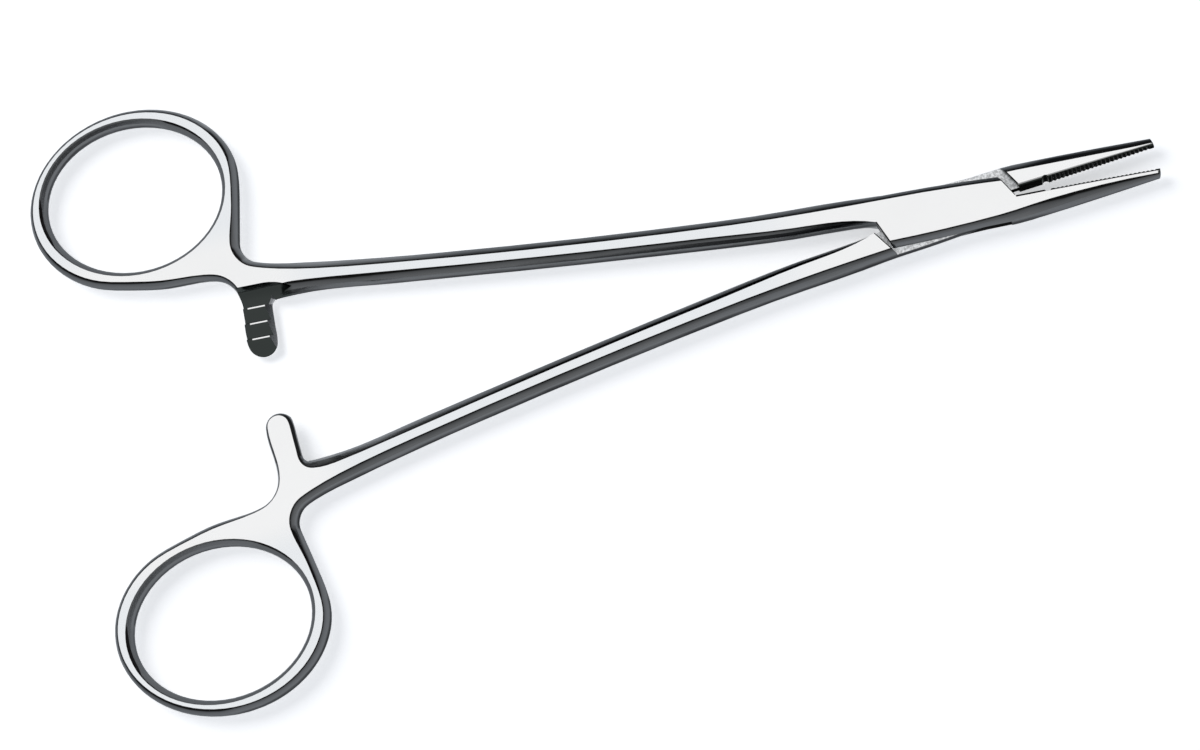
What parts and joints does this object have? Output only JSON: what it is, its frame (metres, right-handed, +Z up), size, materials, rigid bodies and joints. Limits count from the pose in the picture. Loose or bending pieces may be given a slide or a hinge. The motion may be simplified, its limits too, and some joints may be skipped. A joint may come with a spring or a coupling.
{
  "type": "surgical needle holder",
  "caption": "Straight surgical needle holder with box lock, finger rings, ratchet catch and serrated jaws, shown slightly open.",
  "frame": {"origin": "foot of the pivot axis on the underside of the box, where the instrument lies on a table", "axes": "+X along the closing line of the jaws towards their tips, +Z up along the pivot axis, so that the instrument lies flat and its rings are at +Y and -Y"},
  "size_m": [0.1583, 0.0896, 0.0044],
  "materials": {
    "box_half_steel": "bright ground flats and polished rounded sides",
    "tenon_half_steel": "bright ground flats, polished rounded sides, matt tenon cheeks",
    "pin_steel": "ground flush with the box"
  },
  "bodies": {
    "box_side": {"box_half": "box_half_steel", "pivot_pin": "pin_steel"},
    "tenon_side": {"tenon_half": "tenon_half_steel"}
  },
  "joints": [
    {"name": "pivot", "type": "hinge", "parent": "box_side", "child": "tenon_side", "pos_m": [0, 0, 0.0022], "axis": [0, 0, 1], "range_deg": [-6.4, 20]}
  ]
}
